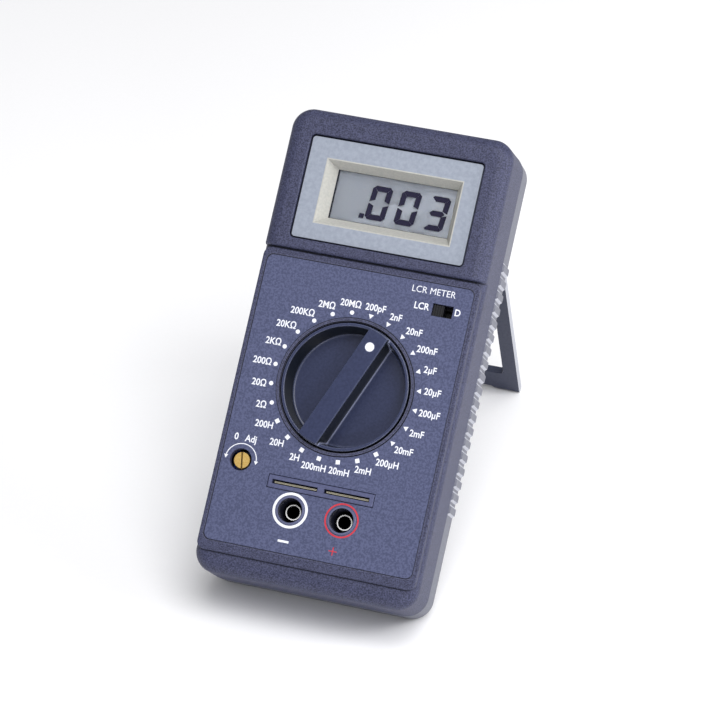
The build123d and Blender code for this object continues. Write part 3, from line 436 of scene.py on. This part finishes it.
def cut(piece, place, normal):
    """Cut a closed piece at a plane of the face, in millimetres, and drop what lies along the normal."""
    only(piece)
    bpy.ops.object.mode_set(mode="EDIT")
    bpy.ops.mesh.select_all(action="SELECT")
    bpy.ops.mesh.bisect(plane_co=Vector(place) * MM, plane_no=normal, use_fill=True, clear_outer=True)
    bpy.ops.object.mode_set(mode="OBJECT")


def plate(low, high, level, thickness):
    """Thin printed rectangle between two corners, from a level of the face up, in millimetres."""
    clear_selection()
    bpy.ops.mesh.primitive_cube_add(
        size=MM,
        location=((low[0] + high[0]) / 2 * MM, (low[1] + high[1]) / 2 * MM, (level + thickness / 2) * MM),
        scale=(high[0] - low[0], high[1] - low[1], thickness),
    )
    bpy.ops.object.transform_apply(location=True, rotation=True, scale=True)
    return bpy.context.object


def join(pieces):
    """Join meshes into the first one."""
    clear_selection()
    for piece in pieces:
        piece.select_set(True)
    bpy.context.view_layer.objects.active = pieces[0]
    if len(pieces) > 1:
        bpy.ops.object.join()
    return bpy.context.object


def settle(piece, name, body, finish):
    """Move a piece drawn on the face into the part's frame, name it, finish it and let it ride."""
    bpy.context.view_layer.update()
    piece.data.transform(FACE @ piece.matrix_world)
    piece.matrix_world = Matrix.Identity(4)
    piece.name = name
    piece.data.name = name
    piece.data.materials.clear()
    piece.data.materials.append(finish_of(finish))
    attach(piece, body)
    return piece


CAP_SHARE = 0.682  # cap height of the built-in font, as a share of its size
SHEET_TOP = face_box("panel_overlay")[1].z / MM


def letters(text, place, cap_height, ink, squeeze=0.89, bold=0.018):
    """Flat lettering centred on a place of the face, in millimetres."""
    clear_selection()
    bpy.ops.object.text_add()
    piece = bpy.context.object
    piece.data.body = text
    piece.data.size = cap_height / CAP_SHARE * MM
    piece.data.offset = bold * piece.data.size
    piece.data.extrude = ink / 2 * MM
    piece.data.resolution_u = 3
    bpy.ops.object.convert(target="MESH")
    piece = bpy.context.object
    xs = [v.co.x for v in piece.data.vertices]
    middle = Vector(((min(xs) + max(xs)) / 2, cap_height / 2 * MM, 0))
    half_width = (max(xs) - min(xs)) / 2 * squeeze
    piece.data.transform(Matrix.Diagonal((squeeze, 1, 1, 1)) @ Matrix.Translation(-middle))
    close_up(piece)
    piece.location = Vector(place) * MM
    return piece, half_width / MM


def disc(place, radius, ink, sides=32, turn=0.0):
    """Flat printed disc, triangle or square on the sheet, in millimetres."""
    clear_selection()
    bpy.ops.mesh.primitive_cylinder_add(
        vertices=sides,
        radius=radius * MM,
        depth=ink * MM,
        location=(place[0] * MM, place[1] * MM, (SHEET_TOP + ink / 2) * MM),
        rotation=(0, 0, turn),
    )
    return bpy.context.object


def ring(place, inner, outer, low, high, sides=96):
    """Flat ring between two heights: a disc, inset on both faces, with the middles bridged."""
    clear_selection()
    bpy.ops.mesh.primitive_cylinder_add(
        vertices=sides,
        radius=outer * MM,
        depth=(high - low) * MM,
        location=(place[0] * MM, place[1] * MM, (low + high) / 2 * MM),
    )
    piece = bpy.context.object
    pick(piece, lambda centre, normal: abs(normal.z) > 0.9)
    bpy.ops.object.mode_set(mode="EDIT")
    bpy.ops.mesh.inset(thickness=(outer - inner) * MM)
    bpy.ops.mesh.bridge_edge_loops()
    bpy.ops.object.mode_set(mode="OBJECT")
    close_up(piece)
    return piece


def arc_band(place, radius, width, ink, start, sweep, steps=32):
    """Printed arc: a thin upright face spun about the place."""
    clear_selection()
    centre = Vector((place[0], place[1], SHEET_TOP + ink / 2)) * MM
    first = Matrix.Rotation(start, 4, "Z") @ Vector((radius * MM, 0, 0))
    bpy.ops.mesh.primitive_plane_add(size=1, location=centre + first, rotation=(math.pi / 2, 0, start))
    piece = bpy.context.object
    piece.scale = (width * MM, ink * MM, 1)
    bpy.ops.object.transform_apply(location=True, rotation=True, scale=True)
    bpy.ops.object.mode_set(mode="EDIT")
    bpy.ops.mesh.select_all(action="SELECT")
    bpy.ops.mesh.spin(steps=steps, angle=sweep, center=centre, axis=(0, 0, -1))
    bpy.ops.object.mode_set(mode="OBJECT")
    close_up(piece)
    return piece


# ---------------------------------------------------------------- settings
class LcrPrintSettings(bpy.types.PropertyGroup):
    """Sizes of the printed scale, in millimetres."""

    ink: FloatProperty(name="Ink", description="Height of the printed ink, mm", default=0.04, min=0.01)
    mark_radius: FloatProperty(
        name="Mark radius", description="Dial centre to the marks, mm", default=26.9
    )
    label_radius: FloatProperty(
        name="Label radius", description="Dial centre to the labels' near side, mm", default=29.3
    )
    label_height: FloatProperty(
        name="Label height", description="Cap height of the labels, mm", default=2.35
    )
    dot: FloatProperty(name="Dot", description="Radius of a resistance dot, mm", default=0.78)
    square: FloatProperty(
        name="Square", description="Half diagonal of an inductance square, mm", default=1.08
    )
    triangle: FloatProperty(
        name="Triangle", description="Reach of a capacitance triangle, mm", default=1.08
    )
    first_stop: FloatProperty(
        name="First stop", description="Angle of the first mark",
        default=math.radians(97.5), subtype="ANGLE"
    )
    arc_radius: FloatProperty(
        name="Arc radius", description="Trimmer's middle to its printed arc, mm", default=5.7
    )
    sign_drop: FloatProperty(
        name="Sign drop", description="Jacks' middle to their signs, mm", default=11.2
    )


class LcrDigitSettings(bpy.types.PropertyGroup):
    """Sizes of the display's digits, in millimetres."""

    height: FloatProperty(name="Height", description="Digit height, mm", default=12.6)
    width: FloatProperty(name="Width", description="Digit width, mm", default=7.4)
    stroke: FloatProperty(name="Stroke", description="Segment width, mm", default=2.0)
    gap: FloatProperty(name="Gap", description="Corner to each segment's mitre, mm", default=0.05)
    split: FloatProperty(
        name="Split", description="Middle line to the upright segments' ends, mm", default=0.3
    )
    rake: FloatProperty(
        name="Rake", description="Slope of the upright segments' inner ends", default=0.4
    )
    tuck: FloatProperty(
        name="Tuck", description="How far in the middle bar's tips lie, in strokes", default=0.45
    )
    chamfer: FloatProperty(
        name="Chamfer", description="Cut across the digit's outer corners, mm", default=1.1
    )
    slant: FloatProperty(
        name="Slant", description="Lean of the digits", default=math.radians(5.0), subtype="ANGLE"
    )
    pitch: FloatProperty(name="Pitch", description="Distance between digits, mm", default=10.8)
    point: FloatProperty(name="Point", description="Side of the decimal point, mm", default=1.8)
    point_gap: FloatProperty(
        name="Point gap", description="Decimal point to the next digit, mm", default=0.3
    )
    shift_x: FloatProperty(
        name="Shift right", description="Glass's middle to the middle digit, mm", default=6.25
    )
    shift_y: FloatProperty(
        name="Shift up", description="Glass's middle to the digits' middle, mm", default=0.2
    )
    film: FloatProperty(
        name="Film", description="Thickness of the segments and the border, mm", default=0.03
    )
    view_x: FloatProperty(
        name="View right", description="Glass's middle to the open view's middle, mm", default=0.45
    )
    view_y: FloatProperty(
        name="View up", description="Glass's middle up to the open view's middle, mm", default=0.9
    )
    view_width: FloatProperty(
        name="View width", description="Width that the bezel leaves open, mm", default=44.4
    )
    view_height: FloatProperty(
        name="View height", description="Height that the bezel leaves open, mm", default=17.9
    )
    border_side: FloatProperty(
        name="Border side", description="Black border at the left, mm", default=0.6
    )
    border_edge: FloatProperty(
        name="Border edge", description="Black border at the top and bottom, mm", default=0.12
    )


class LcrStageSettings(bpy.types.PropertyGroup):
    """Camera and light."""

    focal: FloatProperty(name="Focal length", description="Camera lens", default=185.0, unit="CAMERA")
    key_power: FloatProperty(
        name="Key", description="Power of the key light", default=17.0, unit="POWER"
    )
    fill_power: FloatProperty(
        name="Fill", description="Power of the side light", default=5.0, unit="POWER"
    )
    low_power: FloatProperty(
        name="Low light", description="Power of the low front light", default=1.8, unit="POWER"
    )
    sky: FloatProperty(name="Sky", description="Strength of the even light", default=0.4)


# ---------------------------------------------------------------- the scale's wording
OHMS = ("20MΩ", "2MΩ", "200KΩ", "20KΩ", "2KΩ", "200Ω", "20Ω", "2Ω")
HENRIES = ("200H", "20H", "2H", "200mH", "20mH", "2mH", "200µH")
FARADS = ("20mF", "2mF", "200µF", "20µF", "2µF", "200nF", "20nF", "2nF", "200pF")
STOPS = [(label, "dot") for label in OHMS]
STOPS += [(label, "square") for label in HENRIES]
STOPS += [(label, "triangle") for label in FARADS]


# A label's middle stands off its place by a share of its half width and of its half height
LABEL_SIDE = 0.78  # most that it moves sideways
LABEL_TURN = 1.6  # how fast it gets there as its ray turns from upright
LABEL_RISE = 0.7  # how far it moves up or down on an upright ray


class LCR_OT_scale(bpy.types.Operator):
    """Print the dial's 24 marks and labels on the sheet"""

    bl_idname = "lcr.scale"
    bl_label = "Dial scale"

    def execute(self, context):
        sizes = context.scene.lcr_print
        marks = []
        labels = []
        for index, (label, kind) in enumerate(STOPS):
            angle = sizes.first_stop + math.tau / len(STOPS) * index
            ray = Vector((math.cos(angle), math.sin(angle), 0))
            spot = ray * sizes.mark_radius
            if kind == "dot":
                marks.append(disc(spot, sizes.dot, sizes.ink))
            elif kind == "square":
                marks.append(disc(spot, sizes.square, sizes.ink, 4, angle + math.pi / 4))
            else:
                marks.append(disc(spot, sizes.triangle, sizes.ink, 3, angle + math.pi / 2))
            text, half = letters(label, (0, 0, SHEET_TOP + sizes.ink / 2), sizes.label_height, sizes.ink)
            side = max(-LABEL_SIDE, min(LABEL_SIDE, LABEL_TURN * ray.x))
            shift = Vector((side * half, LABEL_RISE * ray.y * sizes.label_height / 2, 0))
            text.location = text.location + (ray * sizes.label_radius + shift) * MM
            labels.append(text)
        settle(join(marks), "scale_marks", "case", "white_ink")
        settle(join(labels), "scale_labels", "case", "white_ink")
        return {"FINISHED"}


# Wording and the zero-adjust arc, in millimetres
LCR_WORD = (-7.6, 0.5)  # switch's middle to the word's
D_WORD = (5.6, 0.3)
ADJUST_WORD = 7.9  # trimmer's middle up to its wording
HEADING = (24.0, 39.4)  # dial's centre to the heading
HEADING_HEIGHT = 2.3
HEADING_SQUEEZE = 0.95
HEADING_BOLD = -0.002  # strokes a little thinner than the font's
ARC_WIDTH = 0.32
ARC_ENDS = (4, 170)  # degrees from the right
TIP_RADIUS = 0.85
TIP_DROP = 0.5  # arc's end down to the arrow tip's middle


class LCR_OT_switch_print(bpy.types.Operator):
    """Print the slide switch's wording, the heading and the zero-adjust mark"""

    bl_idname = "lcr.switch_print"
    bl_label = "Switch and trimmer print"

    def execute(self, context):
        sizes = context.scene.lcr_print
        middle = face_middle("slide_switch_body") / MM
        trimmer = face_middle("trimmer_screw") / MM
        level = SHEET_TOP + sizes.ink / 2
        words = [
            ("LCR", (middle.x + LCR_WORD[0], middle.y + LCR_WORD[1], level), sizes.label_height),
            ("D", (middle.x + D_WORD[0], middle.y + D_WORD[1], level), sizes.label_height),
            ("0   Adj", (trimmer.x, trimmer.y + ADJUST_WORD, level), sizes.label_height),
        ]
        pieces = [letters(*word, sizes.ink)[0] for word in words]
        heading = ("LCR METER", (*HEADING, level), HEADING_HEIGHT, sizes.ink, HEADING_SQUEEZE, HEADING_BOLD)
        pieces.append(letters(*heading)[0])
        reach = sizes.arc_radius
        start, end = (math.radians(angle) for angle in ARC_ENDS)
        pieces.append(arc_band(trimmer, reach, ARC_WIDTH, sizes.ink, start, end - start))
        for angle in (start, end):
            x, y = trimmer.x + reach * math.cos(angle), trimmer.y + reach * math.sin(angle)
            pieces.append(disc((x, y - TIP_DROP), TIP_RADIUS, sizes.ink, 3, math.pi))
        settle(join(pieces), "switch_and_adjust_print", "case", "white_ink")
        return {"FINISHED"}


# Jack print, in millimetres
MINUS_RING = (5.45, 6.4)  # inner and outer radius
PLUS_RING = (5.6, 6.2)
DASH = (4.0, 0.8)
CROSS_REACH = 1.5
CROSS_LINE = 0.35
CROSS_SHIFT = -0.7  # plus jack's middle to its sign's
TUBE_RIM = 2.4  # where a tube's bright end face starts, from its axis
SLEEVE_RIM = 4.42


class LCR_OT_jack_print(bpy.types.Operator):
    """Print the rings and signs of the two jacks, and paint shade into the bores of their tubes and sleeves
    """

    bl_idname = "lcr.jack_print"
    bl_label = "Jack print"

    def bar(self, x, y, width, height, ink):
        """Printed bar centred on a place of the sheet."""
        return plate((x - width / 2, y - height / 2), (x + width / 2, y + height / 2), SHEET_TOP, ink)

    def execute(self, context):
        sizes = context.scene.lcr_print
        ink = sizes.ink
        minus = face_middle("jack_tube_minus") / MM
        plus = face_middle("jack_tube_plus") / MM
        top = SHEET_TOP + ink
        settle(ring(minus, *MINUS_RING, SHEET_TOP, top), "minus_ring", "case", "white_ink")
        settle(ring(plus, *PLUS_RING, SHEET_TOP, top), "plus_ring", "case", "red_ink")
        sign_y = minus.y - sizes.sign_drop
        dash = self.bar(minus.x, sign_y, *DASH, ink)
        settle(dash, "minus_sign", "case", "white_ink")
        # The cross's arms meet end to end, so that no ink lies twice
        sign_x = plus.x + CROSS_SHIFT
        cross = [self.bar(sign_x, sign_y, 2 * CROSS_REACH, CROSS_LINE, ink)]
        for side in (-1, 1):
            middle = side * (CROSS_REACH + CROSS_LINE / 2) / 2
            cross.append(self.bar(sign_x, sign_y + middle, CROSS_LINE, CROSS_REACH - CROSS_LINE / 2, ink))
        settle(join(cross), "plus_sign", "case", "red_ink")

        for side, place in (("minus", minus), ("plus", plus)):
            # The tube's and sleeve's near-black bore tones are painted shade
            tube = ("nickel_tube_" + side, "#f2f2f2", "#fafafa", "#07080a", place, TUBE_RIM)
            sleeve = ("nylon_sleeve_" + side, "#4c5070", "#585c7c", "#050608", place, SLEEVE_RIM)
            nickel = rimmed(*tube, Metallic=1.0, Roughness=0.5)
            nylon = rimmed(*sleeve, Roughness=0.45)
            for node, finish in (("jack_tube_", nickel), ("jack_shroud_", nylon)):
                frame["nodes"][node + side].material_slots[0].material = finish
        return {"FINISHED"}


# Segments of a digit on a grid of corners: x from -1 to 1 and y from 0 to 2, with g in the middle
SEGMENTS = {
    "a": ((-1, 2), (1, 2)),
    "b": ((1, 1), (1, 2)),
    "c": ((1, 0), (1, 1)),
    "d": ((-1, 0), (1, 0)),
    "e": ((-1, 0), (-1, 1)),
    "f": ((-1, 1), (-1, 2)),
    "g": ((-1, 1), (1, 1)),
}
SHOWN = {"0": "abcdef", "3": "abgcd"}
READING = "003"  # after a decimal point


class LCR_OT_digits(bpy.types.Operator):
    """Make the display's lit segments and the black border of its glass"""

    bl_idname = "lcr.digits"
    bl_label = "Digits"

    def segment(self, name, sizes, level, film):
        """Bar of one segment, mitred where it meets its neighbours and bevelled at the digit's corners."""
        (x0, y0), (x1, y1) = SEGMENTS[name]
        half_x, half_y = sizes.width / 2, sizes.height / 2
        stroke, gap = sizes.stroke, sizes.gap
        if name == "g":
            bar = plate((-half_x, -stroke / 2), (half_x, stroke / 2), level, film)
            for side in (-1, 1):
                tip = side * (half_x - stroke * sizes.tuck)
                for up in (-1, 1):
                    cut(bar, (tip, 0, level), (side, up, 0))
            return bar
        if y0 == y1:
            # Top or bottom: outer edge on the digit's outline
            up = y0 - 1
            ends = sorted((up * half_y, up * (half_y - stroke)))
            bar = plate((-half_x, ends[0]), (half_x, ends[1]), level, film)
            for side in (-1, 1):
                cut(bar, (side * (half_x - gap), up * half_y, level), (side, -up, 0))
                cut(bar, (side * (half_x - sizes.chamfer), up * half_y, level), (side, up, 0))
            return bar
        side = x0
        up = 1 if y1 == 2 else -1
        flanks = sorted((side * half_x, side * (half_x - stroke)))
        ends = sorted((0, up * half_y))
        bar = plate((flanks[0], ends[0]), (flanks[1], ends[1]), level, film)
        cut(bar, (side * half_x, up * (half_y - gap), level), (-side, up, 0))
        cut(bar, (side * half_x, up * (half_y - sizes.chamfer), level), (side, up, 0))
        cut(bar, (side * half_x, up * sizes.split, level), (-side * sizes.rake, -up, 0))
        return bar

    def execute(self, context):
        sizes = context.scene.lcr_digits
        film = sizes.film
        low, high = (corner / MM for corner in face_box("lcd_window"))
        centre = (low + high) / 2
        bars = []
        for index, digit in enumerate(READING):
            for name in SHOWN[digit]:
                bar = self.segment(name, sizes, high.z, film)
                bar.location.x = (index - 1) * sizes.pitch * MM
                bars.append(bar)
        corner = (-sizes.pitch - sizes.width / 2 - sizes.point_gap - sizes.point, -sizes.height / 2)
        bars.append(plate(corner, (corner[0] + sizes.point, corner[1] + sizes.point), high.z, film))
        digits = join(bars)
        bpy.ops.object.transform_apply(location=True, rotation=True, scale=True)
        slant = Matrix.Identity(4)
        slant[0][1] = math.tan(sizes.slant)
        place = Matrix.Translation(Vector((centre.x + sizes.shift_x, centre.y + sizes.shift_y, 0)) * MM)
        digits.data.transform(place @ slant)
        settle(digits, "lcd_digits", "case", "digit_dye")

        # The border shows as a dark line where the bezel's slopes end
        left = centre.x + sizes.view_x - sizes.view_width / 2
        bottom = centre.y + sizes.view_y - sizes.view_height / 2
        right, top = left + sizes.view_width, bottom + sizes.view_height
        strip, edge = left + sizes.border_side, sizes.border_edge
        border = [
            plate((left, bottom), (strip, top), high.z, film),
            plate((strip, bottom), (right, bottom + edge), high.z, film),
            plate((strip, top - edge), (right, top), high.z, film),
        ]
        settle(join(border), "lcd_border", "case", "window_ink")
        return {"FINISHED"}


class LCR_OT_finishes(bpy.types.Operator):
    """Give every CAD node the finish of its material slot"""

    bl_idname = "lcr.finishes"
    bl_label = "Finishes"

    def execute(self, context):
        for entry in frame["record"]["subparts"]:
            node = frame["nodes"][entry["node"]]
            node.data.materials.clear()
            node.data.materials.append(finish_of(entry["material_slot"]))
        return {"FINISHED"}


FLOOR_SIZE = 8  # metres
FLOOR_DROP = 0.0002

# Each light's place from the meter's middle, and its side, in metres
KEY_LIGHT = (Vector((0.35, -0.40, 1.25)), 1.1)
SIDE_LIGHT = (Vector((0.90, 0.10, 0.38)), 0.5)
LOW_LIGHT = (Vector((0.43, -0.95, 0.16)), 0.14)

# Camera on the face's own axes: to the right of the dial, a little below it, far off
CAMERA_PLACE = Vector((324.2, -174.3, 1252.4))  # mm
CAMERA_BACK = Vector((0.2458, -0.1415, 0.9589))
CAMERA_RIGHT = Vector((0.9524, 0.2191, -0.2118))
SENSOR_WIDTH = 36.0  # mm
CLIP = (0.05, 20.0)  # metres


class LCR_OT_stage(bpy.types.Operator):
    """Set the floor, the lights and the camera"""

    bl_idname = "lcr.stage"
    bl_label = "Stage"

    def area(self, name, place, target, size, power):
        """Square soft light that points at the target."""
        clear_selection()
        bpy.ops.object.light_add(type="AREA", location=place)
        lamp = bpy.context.object
        lamp.name = name
        lamp.data.size = size
        lamp.data.energy = power
        lamp.rotation_euler = (Vector(target) - Vector(place)).to_track_quat("-Z", "Y").to_euler()

    def execute(self, context):
        sizes = context.scene.lcr_stage
        clear_selection()
        bpy.ops.mesh.primitive_plane_add(size=FLOOR_SIZE, location=(0, 0, -FLOOR_DROP))
        floor = bpy.context.object
        floor.name = "floor"
        paper, tree, shader = blank("pale_paper", Roughness=0.9)
        mottle(tree, shader, "#f8f8fa", "#f9f9fb", size_mm=1.5)
        floor.data.materials.append(paper)

        low, high = (Vector(corner) for corner in CAD_BOX)
        middle = (low + high) / 2
        lights = (
            ("key_light", KEY_LIGHT, sizes.key_power),
            ("side_light", SIDE_LIGHT, sizes.fill_power),
            ("low_light", LOW_LIGHT, sizes.low_power),
        )
        for name, (offset, side), power in lights:
            self.area(name, middle + offset, middle, side, power)
        world = bpy.data.worlds.new("even_sky")
        world.use_nodes = True
        world.node_tree.nodes["Background"].inputs["Color"].default_value = (1, 1, 1, 1)
        world.node_tree.nodes["Background"].inputs["Strength"].default_value = sizes.sky
        context.scene.world = world

        back = CAMERA_BACK.normalized()
        right = (CAMERA_RIGHT - back * CAMERA_RIGHT.dot(back)).normalized()
        up = back.cross(right)
        turn = Matrix((right, up, back)).transposed().to_4x4()
        turn.translation = CAMERA_PLACE * MM
        camera_data = bpy.data.cameras.new("camera")
        camera = bpy.data.objects.new("camera", camera_data)
        context.scene.collection.objects.link(camera)
        camera.matrix_world = FACE @ turn
        camera_data.lens = sizes.focal
        camera_data.sensor_width = SENSOR_WIDTH
        camera_data.clip_start, camera_data.clip_end = CLIP
        context.scene.camera = camera
        context.scene.view_settings.view_transform = "Standard"
        return {"FINISHED"}


class LCR_PT_panel(bpy.types.Panel):
    """The meter's steps, in order"""

    bl_idname = "LCR_PT_panel"
    bl_label = "LCR Meter"
    bl_space_type = "VIEW_3D"
    bl_region_type = "UI"
    bl_category = "LCR Meter"

    def draw(self, context):
        column = self.layout.column()
        for operator in STEPS:
            column.operator(operator.bl_idname)
        for group in (context.scene.lcr_print, context.scene.lcr_digits, context.scene.lcr_stage):
            box = self.layout.box()
            for name in type(group).__annotations__:
                box.prop(group, name)


STEPS = (LCR_OT_finishes, LCR_OT_scale, LCR_OT_switch_print, LCR_OT_jack_print, LCR_OT_digits, LCR_OT_stage)
GROUPS = (LcrPrintSettings, LcrDigitSettings, LcrStageSettings)


def register():
    """Register the settings, the operators and the panel."""
    for kind in GROUPS + STEPS + (LCR_PT_panel,):
        bpy.utils.register_class(kind)
    bpy.types.Scene.lcr_print = PointerProperty(type=LcrPrintSettings)
    bpy.types.Scene.lcr_digits = PointerProperty(type=LcrDigitSettings)
    bpy.types.Scene.lcr_stage = PointerProperty(type=LcrStageSettings)


def unregister():
    """Take everything out again."""
    del bpy.types.Scene.lcr_stage
    del bpy.types.Scene.lcr_digits
    del bpy.types.Scene.lcr_print
    for kind in reversed(GROUPS + STEPS + (LCR_PT_panel,)):
        bpy.utils.unregister_class(kind)


def main():
    """Build the looks step by step."""
    register()
    for step in STEPS:
        group, name = step.bl_idname.split(".")
        getattr(getattr(bpy.ops, group), name)()


if __name__ == "__main__":
    main()
